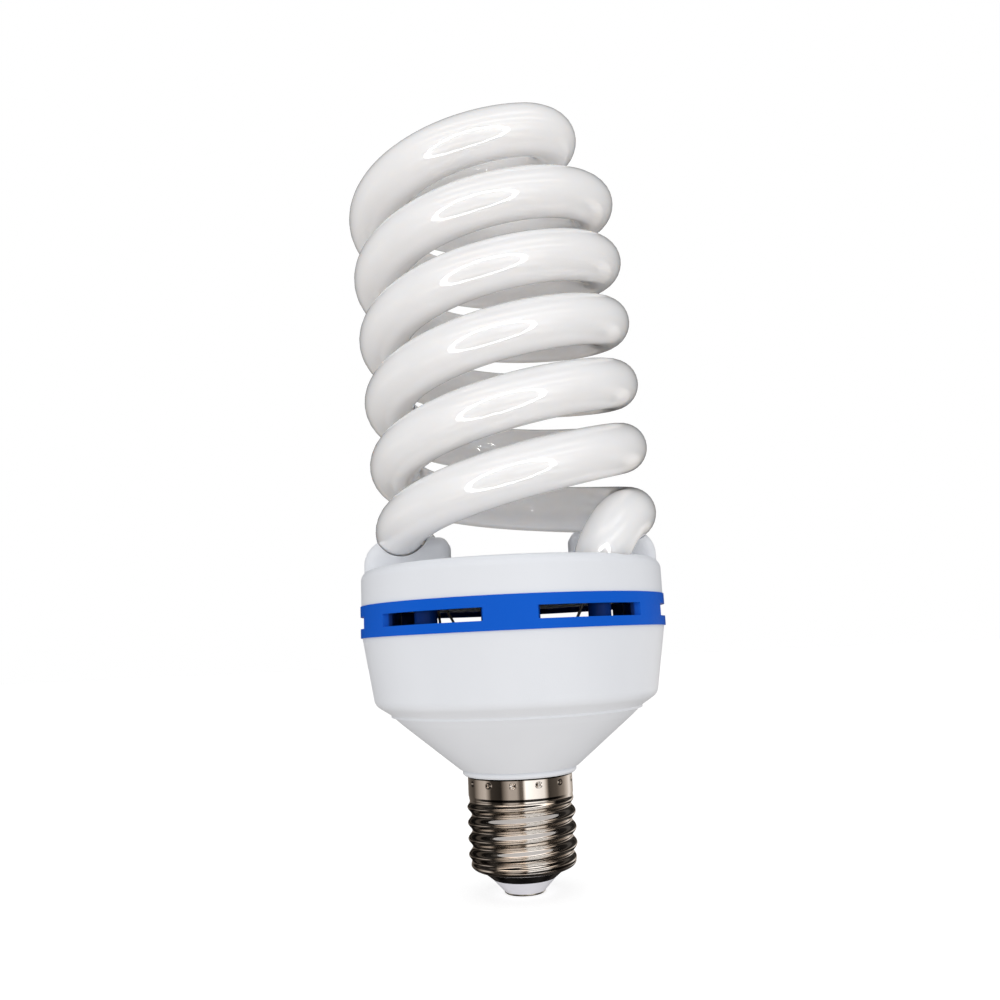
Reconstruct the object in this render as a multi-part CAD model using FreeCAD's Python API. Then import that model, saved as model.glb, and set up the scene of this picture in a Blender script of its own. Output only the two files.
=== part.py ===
# Spiral energy saving bulb, upright on its screw cap.
# Origin at the bottom centre of the centre contact, +Z up the lamp, -Y to the front. Millimetres.
import FreeCAD
import Part

import math
import os

V = FreeCAD.Vector
UP = V(0, 0, 1)
ORIGIN = V(0, 0, 0)

# Screw cap, E27
THREAD_PITCH = 3.629            # one turn of the Edison thread
THREAD_MID_R = 12.63            # mean radius of the rolled thread
THREAD_AMP = 0.5                # crest 13.13, root 12.13
CAP_WALL = 0.45                 # rolled sheet
COLLAR_R = 12.75                # plain collar above the thread
COLLAR_RISE = 0.5               # height over which the thread opens to the collar
THREAD_BOTTOM = 6.6
THREAD_TOP = 22.2
THREAD_RUNOUT = 2.2             # height over which the thread fades at each end
THREAD_STEPS = 10               # sections for each turn
CURL_R = 10.1                   # lip of the shell over the glass
CURL_Z = 5.3
CURL_LIP = 0.4                  # its thickness at the edge
CURL_IN = (0.5, 0.3)            # its bends, each as far in and as far up or down
CURL_LOW = (1.2, 0.35)
CURL_HIGH = (0.4, 0.5)
PUNCH_MARKS = 13
PUNCH_R = 0.85
PUNCH_DEPTH = 0.28
PUNCH_RISE = 3.6                # above the thread
PUNCH_FIRST = -36.0             # degrees from the front
CONTACT_R = 4.9
CONTACT_H = 0.45
CONTACT_EDGE = (0.3, 0.25)
STEM_R = 1.2                     # stem of the contact, up through the insulator
STEM_TOP = 4.0
BOSS_TOP_R = 7.7
BOSS_TOP_Z = 3.4
BOSS_SEAT = 2.0                 # the glass grips this much of its rim
GLASS_CLEAR = 0.9               # from the wall of the shell
GLASS_DIP = 0.1                 # under the start of the thread
GLASS_SIDE = 1.2
GLASS_MIDDLE = 0.4

# Lower housing: outside profile from the neck up, radius and height
NECK_R = 13.9
NECK_Z = 27.4                   # bottom face of the neck, on the rim of the shell
NECK_LIP = 1.3
CONE_FOOT_R = 14.6
CONE_FOOT_Z = 28.9
CONE_BREAK_R = 28.4
CONE_BREAK_Z = 40.2
CONE_TOP_R = 30.4
CONE_TOP_Z = 42.0
STEP = 0.5                      # ledge at the foot of the shoulder
SHOULDER_Z = 44.97
SHOULDER_ROUND = 3.0
EDGE = 0.4                      # small bevel of the neck
WALL = 1.7
RIB_H = 6.0                     # ribs that carry the board
RIB_T = 1.6
RIB_HOLD = 1.4                  # how far each rib reaches in under the board
RIB_FIRST = 15.0                # degrees

# Vent ring
RING_BOTTOM = 61.15
RING_TOP = 68.78
RING_R = 37.95
RING_WALL = 2.1
RING_BORE = RING_R - 7.05
RING_FLANGE = 1.2
RING_LIP = 0.5                  # the flanges stop this far inside the wall's face
RING_TURN = -0.8                # degrees from the front
BODY_TOP_R = RING_R - 0.4
SHOULDER_R = RING_R - 3.2
SLOTS = 6
SLOT_ARC = 44.0                 # degrees at the outside
SLOT_BEVEL = 3.0                # degrees lost at each end through the wall
SLOT_BOTTOM = 63.35
SLOT_TOP = 66.25
SLOT_STEPS = 6
SLOT_PAST = 2.0                 # its cutter runs this far past the wall
SLOT_INTO = 1.0
POSTS = 5
POST_R = 2.6
POST_CENTRE_R = RING_R - RING_WALL - POST_R + 0.05
POST_FIRST = -36.0              # degrees from the front

# Tube holder
HOLDER_R = RING_R - 0.25
HOLDER_TOP = 77.6
HOLDER_FILLET = 2.6
HOLDER_PLATE = 2.0
SADDLE_IN = 15.2                # inner end of each saddle, from the axis
SADDLE_OUT = HOLDER_R - 1.1
SADDLE_HALF = 6.5
SADDLE_TOP = 85.4
SADDLE_ROUND = 2.6
SADDLE_END = 6.5                 # its outer end is rounder
SADDLE_SINK = 0.5                # it reaches this far into the plate
SADDLE_SKIN = 1.8
SOCKET_R = 9.4                  # cement well under each foot
SOCKET_DEPTH = 4.0
SNAP_WIDTH = 8.0
SNAP_R = RING_BORE - 0.4
SNAP_T = 1.6
SNAP_HOOK = 1.5
SNAP_SLOPE = 1.6
SNAP_BOTTOM = 55.9

# Spiral tube
COIL_R = RING_R - 8.62          # centreline radius
TUBE_R = 6.43
COIL_PITCH = 33.6               # rise of one strand for each turn
COIL_BASE_Z = 105.05
COIL_LEAN_X = 0.17              # the glass was set slightly askew in the holder
COIL_LEAN_Y = -3.7
COIL_OFF_X = 0.835
LEG_START = {1: -24.0, -1: -12.0}   # azimuth where each strand begins to bend down
LEG_BEND = {1: 16.5, -1: 15.3}
LEG_PULL = {1: 2.6, -1: 0.0}     # how far each foot is drawn in toward the axis
TURN_IN = 22.0                  # degrees past the front where the strand turns to the axis
STRAND_LAST = 3 * 360.0 - 90.0 + TURN_IN
HELIX_STEP = 12.0               # degrees between sections
BEND_STEPS = 6
CROSSOVER_STEPS = 8
SADDLE_RINGS = 8                # sections of a strand that its saddle follows

GAP = 0.3                       # clearance between curved faces
SLIP = 0.25                     # clearance of plain assembled parts
TINY = 0.01

# Circuit board and what hangs below it
BOARD_R = RING_BORE + 0.1
BOARD_T = 1.6
BOARD_Z = 54.6                  # underside
BOARD_TOP = BOARD_Z + BOARD_T
LEAD_R = 0.35
LEAD_BEND = 1.1                  # from the end of a small part out to the bend of its lead
AXIAL_LIFT = 0.8                 # small parts stand off the board
WIRE_R = 0.7
WIRE_RINGS = 10
WIRE_END = 0.05                  # a soldered wire stops this far short of its face
MITRED = 1
PIN = 1.1
PIN_TOP = 61.0
PIN_IN = 4.5                     # from the foot's middle to its posts
PIN_HALF = 3.0
LEAD_START = 0.45                # share of the way out to its post
LEAD_DROP = 1.5
LEAD_RISE = 2.2
NOTCH_SPARE = 1.0                # room in the board round each hooked leg
NOTCH_DEPTH = 6.0
ECAP_R = 7.0
ECAP_H = 20.0
ECAP_X = 8.2
ECAP_Y = 3.0
ECAP_EDGE = 0.6
BEAD_DOWN = 2.4                  # groove under the can's closed rim
BEAD_HALF = 0.8
BEAD_DEPTH = 0.7
CRIMP = (1.5, 0.5)
CHOKE_Y = -19.0
CHOKE_LENGTH = 17.0
CHOKE_DEPTH = 8.0
CHOKE_H = 10.5
CHOKE_PLATE = 2.2
CHOKE_LEG_R = 2.5
FORM_WALL = 0.7
FORM_FLANGE_R = 6.0
CHOKE_WIND_R = 5.6
TOROID_AT = (-19.0, 12.5)
TOROID_R = 3.9                   # mean radius
TOROID_HALF = 1.3                # half the width of its section
TOROID_H = 3.2
TOROID_WIRE = 0.6
WINDINGS = 3
WINDING_TURNS = 3
WINDING_STEP = 32.0              # degrees from turn to turn
TRANSISTOR_AT = (21.0, -6.0)
TRANSISTOR = (3.2, 8.0, 11.0)
TRANSISTOR_LEAD = (0.6, 0.8)
TRANSISTOR_STEP = 2.5
TAB_HOLE_R = 1.6
TAB_HOLE_DOWN = 2.6
RADIAL_LEAD = 2.0
FILM_AT = (8.0, 17.0)
FILM = (9.6, 5.0, 8.0)
FILM_ROUND = 0.8
RESONANCE_AT = (0.0, 24.6)
RESONANCE = (16.0, 5.6, 9.5)
INDUCTOR_AT = (19.0, 12.5)
INDUCTOR_R = 4.5
INDUCTOR_H = 9.0
INDUCTOR_FLANGE = 1.5
INDUCTOR_NECK_R = INDUCTOR_R - 2.3
INDUCTOR_INSET = 0.4             # its winding lies under the flanges' rims
DIODE_AT = (14.5, -13.8)
DIODE = (1.35, 4.6)
RESISTOR = (1.1, 4.0)
ROW_STEP = 3.3
FUSE_AT = (-19.0, 1.4)
FUSE = (1.9, 6.4)
THERMISTOR_AT = (19.5, 2.4)
THERMISTOR = (3.2, 2.2)
THERMISTOR_STEP = 1.5
WIRE_PAD = (3.0, -9.0)           # where the mains wires meet the board, right and left
LIVE_ROUTE = ((0, 0, 10), (-0.3, -2, 22), (-1.5, -5.2, 33), (-2.7, -8.2, 44))
NEUTRAL_FOOT = (11.3, 0, 20.4)
NEUTRAL_ROUTE = ((9.2, -0.8, 23.6), (7.4, -3.2, 30), (4.6, -7.2, 40))


def ring_solid(r_out, r_in, z0, z1):
    body = Part.makeCylinder(r_out, z1 - z0, V(0, 0, z0))
    return body.cut(Part.makeCylinder(r_in, z1 - z0, V(0, 0, z0)))


def revolve(points):
    """Solid of revolution from (radius, height) pairs."""
    corners = [V(r, 0, z) for r, z in points]
    face = Part.Face(Part.makePolygon(corners + corners[:1]))
    return face.revolve(ORIGIN, UP, 360)


def box(cx, cy, z0, sx, sy, sz):
    return Part.makeBox(sx, sy, sz, V(cx - sx / 2, cy - sy / 2, z0))


def turned(shape, degrees):
    copy = shape.copy()
    copy.rotate(ORIGIN, UP, degrees)
    return copy


def round_body(sections, radius):
    """Round body through places with directions, each ring turned as little as can be."""
    side = sections[0][1].cross(V(1, 0, 0)).normalize()
    rings = []
    for place, along in sections:
        side = (side - along * side.dot(along)).normalize()
        other = along.cross(side)
        ring = Part.makeCircle(radius)
        ring.Placement = FreeCAD.Placement(place, FreeCAD.Rotation(side, other, along))
        rings.append(Part.Wire(ring))
    return Part.makeLoft(rings, True, True)


def soft_wire(points, radius):
    """Wire that follows a smooth line through the points."""
    path = Part.BSplineCurve()
    path.interpolate(points)
    sections = []
    for i in range(WIRE_RINGS + 1):
        at = path.parameterAtDistance(path.length() * i / WIRE_RINGS)
        sections.append((path.value(at), path.tangent(at)[0]))
    return round_body(sections, radius)


def bent_lead(points, radius):
    """Stiff lead bent sharply at each point."""
    start = (points[1] - points[0]).normalize()
    profile = Part.Wire(Part.makeCircle(radius, points[0], start))
    return Part.Wire(Part.makePolygon(points)).makePipeShell([profile], True, False, MITRED)


# Spiral tube

def bend_points(side):
    """Centreline of one foot, from where it has turned straight down up to the strand."""
    first = LEG_START[side]
    bend = LEG_BEND[side]
    slope = math.atan(COIL_PITCH / (2 * math.pi * COIL_R))
    start_z = COIL_PITCH * (first - 180) / 360
    points = []
    for i in range(BEND_STEPS):
        angle = math.pi / 2 + (slope - math.pi / 2) * i / BEND_STEPS
        along = bend * (math.sin(angle) - math.sin(slope))
        drop = bend * (math.cos(slope) - math.cos(angle))
        turn = math.radians(first) - along / COIL_R
        radius = COIL_R - LEG_PULL[side] * (1 - i / BEND_STEPS) ** 2
        x = side * radius * math.cos(turn)
        y = side * radius * math.sin(turn)
        points.append(V(x, y, start_z - drop))
    return points


def strand_points(side):
    """Centreline of one strand from its foot upward, before it is leaned and placed."""
    points = bend_points(side)
    first = LEG_START[side]
    count = int(round((STRAND_LAST - first) / HELIX_STEP))
    for i in range(count + 1):
        azimuth = first + (STRAND_LAST - first) * i / count
        turn = math.radians(azimuth)
        height = COIL_PITCH * (azimuth - 180) / 360
        points.append(V(side * COIL_R * math.cos(turn), side * COIL_R * math.sin(turn), height))
    return points


def crossover_points(side):
    """Turn from the end of a strand in to the axis, ends included."""
    slope = COIL_PITCH / (2 * math.pi * COIL_R)
    rise = 0.5 * slope * math.pi * COIL_R / 2
    top = COIL_PITCH * (STRAND_LAST - 180) / 360
    points = []
    for i in range(CROSSOVER_STEPS + 1):
        part = i / CROSSOVER_STEPS
        x = COIL_R / 2 * math.sin(math.pi * part)
        y = -COIL_R / 2 * (1 + math.cos(math.pi * part))
        point = V(side * x, side * y, top + rise * (2 * part - part * part))
        points.append(FreeCAD.Rotation(UP, TURN_IN).multVec(point))
    return points


def place_coil(shape):
    shape.rotate(ORIGIN, V(0, 1, 0), COIL_LEAN_Y)
    shape.rotate(ORIGIN, V(1, 0, 0), COIL_LEAN_X)
    shape.translate(V(COIL_OFF_X, 0, COIL_BASE_Z))
    return shape


def foot_point(side):
    """Where a strand, placed in the lamp, has turned straight down."""
    return place_coil(Part.Vertex(bend_points(side)[0])).Point


def tube_sections(side):
    """Places and directions of the sections of one strand, from its foot to the axis."""
    path = Part.BSplineCurve()
    path.interpolate(strand_points(side) + crossover_points(side)[1:])
    return [(path.value(knot), path.tangent(knot)[0]) for knot in path.getKnots()]


def leg_body(side, radius):
    """The lowest part of one strand, from its foot to past the saddle."""
    sections = tube_sections(side)
    return place_coil(round_body(sections[:BEND_STEPS + SADDLE_RINGS], radius))


def spiral_tube():
    """One glass tube: up one strand, across the axis and down the other."""
    up = tube_sections(1)
    down = [(place, along * -1) for place, along in tube_sections(-1)[-2::-1]]
    return place_coil(round_body(up + down, TUBE_R))


# Plastic housing

def saddle_block(side, inset):
    """Raised saddle across one strand; the inset makes the hollow below it."""
    x0 = SADDLE_IN + inset
    x1 = SADDLE_OUT - inset
    half = SADDLE_HALF - inset
    top = SADDLE_TOP - inset
    base = HOLDER_TOP - HOLDER_PLATE - SADDLE_SINK
    round_r = SADDLE_END - inset
    corner = V(x1 - round_r, -half, top - round_r)
    middle = corner + V(round_r * math.sqrt(0.5), 0, round_r * math.sqrt(0.5))
    end = Part.Arc(corner + V(0, 0, round_r), middle, corner + V(round_r, 0, 0)).toShape()
    straight = [V(x1, -half, corner.z), V(x1, -half, base), V(x0, -half, base), V(x0, -half, top)]
    profile = Part.Wire([end, Part.makePolygon(straight + [V(corner.x, -half, top)])])
    block = Part.Face(profile).extrude(V(0, 2 * half, 0))
    if inset == 0:
        high = [e for e in block.Edges if e.CenterOfMass.z > base + TINY]
        block = block.makeFillet(SADDLE_ROUND, high)
    return block if side > 0 else turned(block, 180)


def tube_holder(clearances):
    outer = Part.makeCylinder(HOLDER_R, HOLDER_TOP - RING_TOP, V(0, 0, RING_TOP))
    rim = [e for e in outer.Edges if e.BoundBox.ZMin > HOLDER_TOP - TINY]
    outer = outer.makeFillet(HOLDER_FILLET, rim)
    for side in (1, -1):
        outer = outer.fuse(saddle_block(side, 0))
    hollow_top = HOLDER_TOP - HOLDER_PLATE
    inside = Part.makeCylinder(HOLDER_R - WALL, hollow_top - RING_TOP, V(0, 0, RING_TOP))
    for side in (1, -1):
        pocket = saddle_block(side, SADDLE_SKIN)
        pocket = pocket.cut(leg_body(side, TUBE_R + GAP + SADDLE_SKIN))
        inside = inside.fuse(pocket)
    body = outer.cut(inside)
    for side in (1, -1):
        foot = foot_point(side)
        well = ring_solid(SOCKET_R + WALL, SOCKET_R, hollow_top - SOCKET_DEPTH, hollow_top)
        well.translate(V(foot.x, foot.y, 0))
        body = body.fuse(well)
    spigot_r = RING_BORE - SLIP
    spigot = ring_solid(spigot_r, spigot_r - WALL, RING_TOP - RING_FLANGE, hollow_top)
    body = body.fuse(spigot)
    for side in (1, -1):
        foot = foot_point(side)
        bore = Part.makeCylinder(SOCKET_R, hollow_top - RING_TOP, V(foot.x, foot.y, RING_TOP))
        body = body.cut(bore.common(inside))
        body = body.fuse(snap_leg(side))
    for clearance in clearances:
        body = body.cut(clearance)
    room = Part.makeCylinder(HOLDER_R, SADDLE_TOP + WALL - SNAP_BOTTOM, V(0, 0, SNAP_BOTTOM))
    return body.common(room)


def snap_leg(side):
    """Hooked leg that reaches through the vent ring and catches the lower housing."""
    top = HOLDER_TOP - HOLDER_PLATE
    corner = V(-SNAP_WIDTH / 2, SNAP_R - SNAP_T, SNAP_BOTTOM)
    leg = Part.makeBox(SNAP_WIDTH, SNAP_T, top - SNAP_BOTTOM, corner)
    catch = SNAP_BOTTOM + SNAP_SLOPE
    tip = [V(0, SNAP_R, SNAP_BOTTOM), V(0, SNAP_R + SNAP_HOOK, catch), V(0, SNAP_R, catch)]
    hook = Part.Face(Part.makePolygon(tip + tip[:1])).extrude(V(SNAP_WIDTH, 0, 0))
    hook.translate(V(-SNAP_WIDTH / 2, 0, 0))
    leg = leg.fuse(hook)
    return leg if side > 0 else turned(leg, 180)


def slot_cutter(middle):
    """One vent opening, wider outside than inside."""
    half = math.radians(SLOT_ARC / 2)
    inner_half = half - math.radians(SLOT_BEVEL)
    out_r = RING_R + SLOT_PAST
    in_r = RING_R - RING_WALL - SLOT_INTO
    corners = []
    for i in range(SLOT_STEPS + 1):
        angle = -half + 2 * half * i / SLOT_STEPS
        corners.append(V(out_r * math.cos(angle), out_r * math.sin(angle), SLOT_BOTTOM))
    for i in range(SLOT_STEPS + 1):
        angle = inner_half - 2 * inner_half * i / SLOT_STEPS
        corners.append(V(in_r * math.cos(angle), in_r * math.sin(angle), SLOT_BOTTOM))
    face = Part.Face(Part.makePolygon(corners + corners[:1]))
    return turned(face.extrude(V(0, 0, SLOT_TOP - SLOT_BOTTOM)), middle)


def vent_ring():
    body = ring_solid(RING_R, RING_R - RING_WALL, RING_BOTTOM, RING_TOP)
    for z in (RING_BOTTOM, RING_TOP - RING_FLANGE):
        body = body.fuse(ring_solid(RING_R - RING_LIP, RING_BORE, z, z + RING_FLANGE))
    for i in range(SLOTS):
        body = body.cut(slot_cutter(-90 + RING_TURN + (i + 0.5) * 360 / SLOTS))
    post = Part.makeCylinder(POST_R, RING_TOP - RING_BOTTOM, V(POST_CENTRE_R, 0, RING_BOTTOM))
    for i in range(POSTS):
        body = body.fuse(turned(post, -90 + POST_FIRST + i * 360 / POSTS))
    return body


def lower_housing():
    slope = (CONE_BREAK_R - CONE_FOOT_R) / (CONE_BREAK_Z - CONE_FOOT_Z)
    spigot_r = COLLAR_R - CAP_WALL
    spigot_z = THREAD_TOP + COLLAR_RISE + GAP
    body = revolve([
        (spigot_r - WALL, spigot_z), (spigot_r, spigot_z), (spigot_r, NECK_Z),
        (NECK_R - EDGE, NECK_Z), (NECK_R, NECK_Z + EDGE), (NECK_R, NECK_Z + NECK_LIP - EDGE),
        (NECK_R - EDGE / 2, NECK_Z + NECK_LIP), (CONE_FOOT_R, CONE_FOOT_Z),
        (CONE_BREAK_R, CONE_BREAK_Z), (CONE_TOP_R, CONE_TOP_Z),
        (CONE_TOP_R + STEP, CONE_TOP_Z), (CONE_TOP_R + STEP, CONE_TOP_Z + STEP),
        (SHOULDER_R, SHOULDER_Z), (BODY_TOP_R, RING_BOTTOM),
        (BODY_TOP_R - WALL, RING_BOTTOM), (SHOULDER_R - WALL, SHOULDER_Z + WALL),
        (CONE_TOP_R, CONE_TOP_Z + WALL + STEP), (CONE_BREAK_R - WALL, CONE_BREAK_Z + WALL / 2),
        (CONE_FOOT_R - WALL, CONE_FOOT_Z + WALL / slope), (spigot_r - WALL, NECK_Z),
    ])
    outside = max(e.BoundBox.XMax for e in body.Edges if abs(e.CenterOfMass.z - SHOULDER_Z) < TINY)
    shoulder = [e for e in body.Edges
                if abs(e.CenterOfMass.z - SHOULDER_Z) < TINY and e.BoundBox.XMax > outside - TINY]
    body = body.makeFillet(SHOULDER_ROUND, shoulder)
    lip_in = SNAP_R + SLIP
    lip_z = SNAP_BOTTOM + SNAP_SLOPE + SLIP
    lip = ring_solid(BODY_TOP_R - WALL, lip_in, lip_z, RING_BOTTOM)
    for side in (1, -1):
        middle = side * (lip_in + BODY_TOP_R) / 2
        seat = box(0, middle, lip_z, SNAP_WIDTH + 4, BODY_TOP_R - lip_in, RING_BOTTOM - lip_z)
        body = body.fuse(lip.common(seat))
    in_wall = SHOULDER_R + WALL / 4
    support = ring_solid(in_wall, BOARD_R - RIB_HOLD, BOARD_Z - RIB_H, BOARD_Z)
    rib = box(BOARD_R, 0, BOARD_Z - RIB_H, 2 * (in_wall - BOARD_R + 1), RIB_T, RIB_H).common(support)
    for i in range(SLOTS):
        body = body.fuse(turned(rib, i * 360 / SLOTS + RIB_FIRST))
    for mark in punch_marks():
        body = body.cut(mark)
    return body


# Screw cap

def punch_marks():
    marks = []
    for i in range(PUNCH_MARKS):
        centre = V(COLLAR_R + PUNCH_R - PUNCH_DEPTH, 0, THREAD_TOP + PUNCH_RISE)
        mark = Part.makeSphere(PUNCH_R, centre)
        marks.append(turned(mark, -90 + PUNCH_FIRST + i * 360 / PUNCH_MARKS))
    return marks


def thread_amplitude(z):
    fade = min(z - THREAD_BOTTOM, THREAD_TOP - z) / THREAD_RUNOUT
    fade = max(0.0, min(1.0, fade))
    return THREAD_AMP * fade * fade * (3 - 2 * fade)


def thread_body(radius):
    """Round body whose section circles the axis once for each pitch: a knuckle thread."""
    height = THREAD_TOP - THREAD_BOTTOM
    count = int(round(height / THREAD_PITCH * THREAD_STEPS))
    wires = []
    for i in range(count + 1):
        z = THREAD_BOTTOM + height * i / count
        offset = thread_amplitude(z)
        turn = 2 * math.pi * z / THREAD_PITCH
        centre = V(offset * math.cos(turn), offset * math.sin(turn), z)
        wires.append(Part.Wire(Part.makeCircle(radius, centre, UP)))
    return Part.makeLoft(wires, True, True)


def cap_shell():
    inner_mid = THREAD_MID_R - CAP_WALL
    thread = thread_body(THREAD_MID_R).cut(thread_body(inner_mid))
    collar = revolve([
        (inner_mid, THREAD_TOP), (THREAD_MID_R, THREAD_TOP), (COLLAR_R, THREAD_TOP + COLLAR_RISE),
        (COLLAR_R, NECK_Z), (COLLAR_R - CAP_WALL, NECK_Z),
        (COLLAR_R - CAP_WALL, THREAD_TOP + COLLAR_RISE),
    ])
    curl = revolve([
        (THREAD_MID_R, THREAD_BOTTOM), (inner_mid, THREAD_BOTTOM),
        (inner_mid - CURL_IN[0], THREAD_BOTTOM - CURL_IN[1]),
        (CURL_R, CURL_Z + CURL_LIP), (CURL_R, CURL_Z),
        (THREAD_MID_R - CURL_LOW[0], CURL_Z + CURL_LOW[1]),
        (THREAD_MID_R - CURL_HIGH[0], THREAD_BOTTOM - CURL_HIGH[1]),
    ])
    body = thread.fuse(collar).fuse(curl)
    for mark in punch_marks():
        body = body.cut(mark)
    return body


def cap_glass():
    """Black glass that fills the bottom of the shell round the contact."""
    inside = THREAD_MID_R - CAP_WALL - GLASS_CLEAR
    seat = BOSS_TOP_R - BOSS_SEAT
    return revolve([
        (BOSS_TOP_R, BOSS_TOP_Z), (CURL_R, CURL_Z), (CURL_R, CURL_Z + CURL_LIP),
        (inside, THREAD_BOTTOM - GLASS_DIP), (inside, THREAD_BOTTOM + GLASS_SIDE),
        (seat, THREAD_BOTTOM + GLASS_MIDDLE), (seat, BOSS_TOP_Z),
    ])


def contact_insulator():
    seat = BOSS_TOP_R - BOSS_SEAT
    return revolve([
        (CONTACT_R, CONTACT_H), (BOSS_TOP_R, BOSS_TOP_Z), (seat, BOSS_TOP_Z),
        (seat, THREAD_BOTTOM), (STEM_R, THREAD_BOTTOM), (STEM_R, CONTACT_H),
    ])


def centre_contact():
    return revolve([
        (0, 0), (CONTACT_R - CONTACT_EDGE[0], 0), (CONTACT_R, CONTACT_EDGE[1]), (CONTACT_R, CONTACT_H),
        (STEM_R, CONTACT_H), (STEM_R, STEM_TOP), (0, STEM_TOP),
    ])


# Feet of the tube

def leg_cement(legs):
    """White cement that fills each well round the glass."""
    top = HOLDER_TOP - HOLDER_PLATE
    room = Part.makeCylinder(HOLDER_R - WALL, SOCKET_DEPTH, V(0, 0, top - SOCKET_DEPTH))
    rings = []
    for side, leg in zip((1, -1), legs):
        foot = foot_point(side)
        plug = Part.makeCylinder(SOCKET_R, SOCKET_DEPTH, V(foot.x, foot.y, top - SOCKET_DEPTH))
        rings.append(plug.common(room).cut(leg))
    return Part.makeCompound(rings)


def pin_places(side):
    """Two posts on the board for the wires of one foot."""
    foot = foot_point(side)
    inward = V(-foot.x, -foot.y, 0).normalize()
    across = UP.cross(inward)
    middle = V(foot.x, foot.y, 0) + inward * PIN_IN
    return [middle + across * step for step in (-PIN_HALF, PIN_HALF)]


def wire_posts():
    pins = []
    for side in (1, -1):
        for place in pin_places(side):
            pins.append(box(place.x, place.y, BOARD_TOP, PIN, PIN, PIN_TOP - BOARD_TOP))
    return Part.makeCompound(pins)


def tube_leads():
    wires = []
    for side in (1, -1):
        foot = foot_point(side)
        middle = V(foot.x, foot.y, 0)
        for place in pin_places(side):
            start = middle + (place - middle) * LEAD_START
            start.z = foot.z - GAP
            low = V(place.x, place.y, PIN_TOP)
            route = [start, start - UP * LEAD_DROP, low + UP * LEAD_RISE, low]
            wires.append(bent_lead(route, LEAD_R))
    return Part.makeCompound(wires)


# Circuit board

def circuit_board():
    body = Part.makeCylinder(BOARD_R, BOARD_T, V(0, 0, BOARD_Z))
    for side in (1, -1):
        y = side * (SNAP_R + NOTCH_SPARE)
        body = body.cut(box(0, y, BOARD_Z, SNAP_WIDTH + NOTCH_SPARE, NOTCH_DEPTH, BOARD_T))
    return body


def electrolytic_capacitors():
    groove = ECAP_H - BEAD_DOWN
    can = revolve([
        (0, 0), (ECAP_R - ECAP_EDGE, 0), (ECAP_R, ECAP_EDGE),
        (ECAP_R, groove - BEAD_HALF), (ECAP_R - BEAD_DEPTH, groove), (ECAP_R, groove + BEAD_HALF),
        (ECAP_R, ECAP_H - CRIMP[1]), (ECAP_R - CRIMP[0], ECAP_H), (0, ECAP_H),
    ])
    cans = []
    for side in (1, -1):
        copy = can.copy()
        copy.translate(V(side * ECAP_X, ECAP_Y, BOARD_Z - ECAP_H))
        cans.append(copy)
    return Part.makeCompound(cans)


def choke_core():
    low = BOARD_Z - CHOKE_H
    frame = box(0, CHOKE_Y, low, CHOKE_LENGTH, CHOKE_DEPTH, CHOKE_H)
    opening = CHOKE_H - 2 * CHOKE_PLATE
    window = box(0, CHOKE_Y, low + CHOKE_PLATE, CHOKE_LENGTH - 2 * CHOKE_PLATE, CHOKE_DEPTH, opening)
    leg = Part.makeCylinder(CHOKE_LEG_R, opening, V(0, CHOKE_Y, low + CHOKE_PLATE))
    return frame.cut(window).fuse(leg)


def choke_bobbin():
    low = BOARD_Z - CHOKE_H + CHOKE_PLATE
    high = BOARD_Z - CHOKE_PLATE
    bore = CHOKE_LEG_R + GAP
    spool = revolve([
        (bore, low), (FORM_FLANGE_R, low), (FORM_FLANGE_R, low + FORM_WALL),
        (bore + FORM_WALL, low + FORM_WALL), (bore + FORM_WALL, high - FORM_WALL),
        (FORM_FLANGE_R, high - FORM_WALL), (FORM_FLANGE_R, high), (bore, high),
    ])
    spool.translate(V(0, CHOKE_Y, 0))
    return spool


def choke_winding():
    low = BOARD_Z - CHOKE_H + CHOKE_PLATE + FORM_WALL
    high = BOARD_Z - CHOKE_PLATE - FORM_WALL
    body = ring_solid(CHOKE_WIND_R, CHOKE_LEG_R + GAP + FORM_WALL, low, high)
    body.translate(V(0, CHOKE_Y, 0))
    return body


def toroid_core():
    x, y = TOROID_AT
    top = BOARD_Z - TOROID_WIRE - GAP
    body = ring_solid(TOROID_R + TOROID_HALF, TOROID_R - TOROID_HALF, top - TOROID_H, top)
    body.translate(V(x, y, 0))
    return body


def toroid_windings():
    """Three windings of three turns, each turn a bent wire round the core."""
    x, y = TOROID_AT
    half = TOROID_HALF + GAP
    height = TOROID_H + 2 * GAP
    low = BOARD_Z - height - 2 * TOROID_WIRE
    outside = box(TOROID_R, 0, low, 2 * (half + TOROID_WIRE), TOROID_WIRE, height + 2 * TOROID_WIRE)
    turn = outside.cut(box(TOROID_R, 0, low + TOROID_WIRE, 2 * half, TOROID_WIRE, height))
    turns = []
    for i in range(WINDINGS):
        for k in range(WINDING_TURNS):
            loop = turned(turn, 360 * i / WINDINGS + WINDING_STEP * k)
            loop.translate(V(x, y, 0))
            turns.append(loop)
    return Part.makeCompound(turns)


def power_transistors():
    depth, width, height = TRANSISTOR
    top = BOARD_Z - RADIAL_LEAD
    bodies = []
    for side in (1, -1):
        x = side * TRANSISTOR_AT[0]
        y = TRANSISTOR_AT[1]
        body = box(x, y, top - height, depth, width, height)
        for step in (-TRANSISTOR_STEP, 0, TRANSISTOR_STEP):
            body = body.fuse(box(x, y + step, top, *TRANSISTOR_LEAD, RADIAL_LEAD))
        centre = V(x - depth / 2, y, top - height + TAB_HOLE_DOWN)
        bodies.append(body.cut(Part.makeCylinder(TAB_HOLE_R, depth, centre, V(1, 0, 0))))
    return Part.makeCompound(bodies)


def rounded_box(at, size):
    body = box(at[0], at[1], BOARD_Z - size[2], size[0], size[1], size[2])
    return body.makeFillet(FILM_ROUND, [e for e in body.Edges if e.BoundBox.ZLength > FILM_ROUND])


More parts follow.
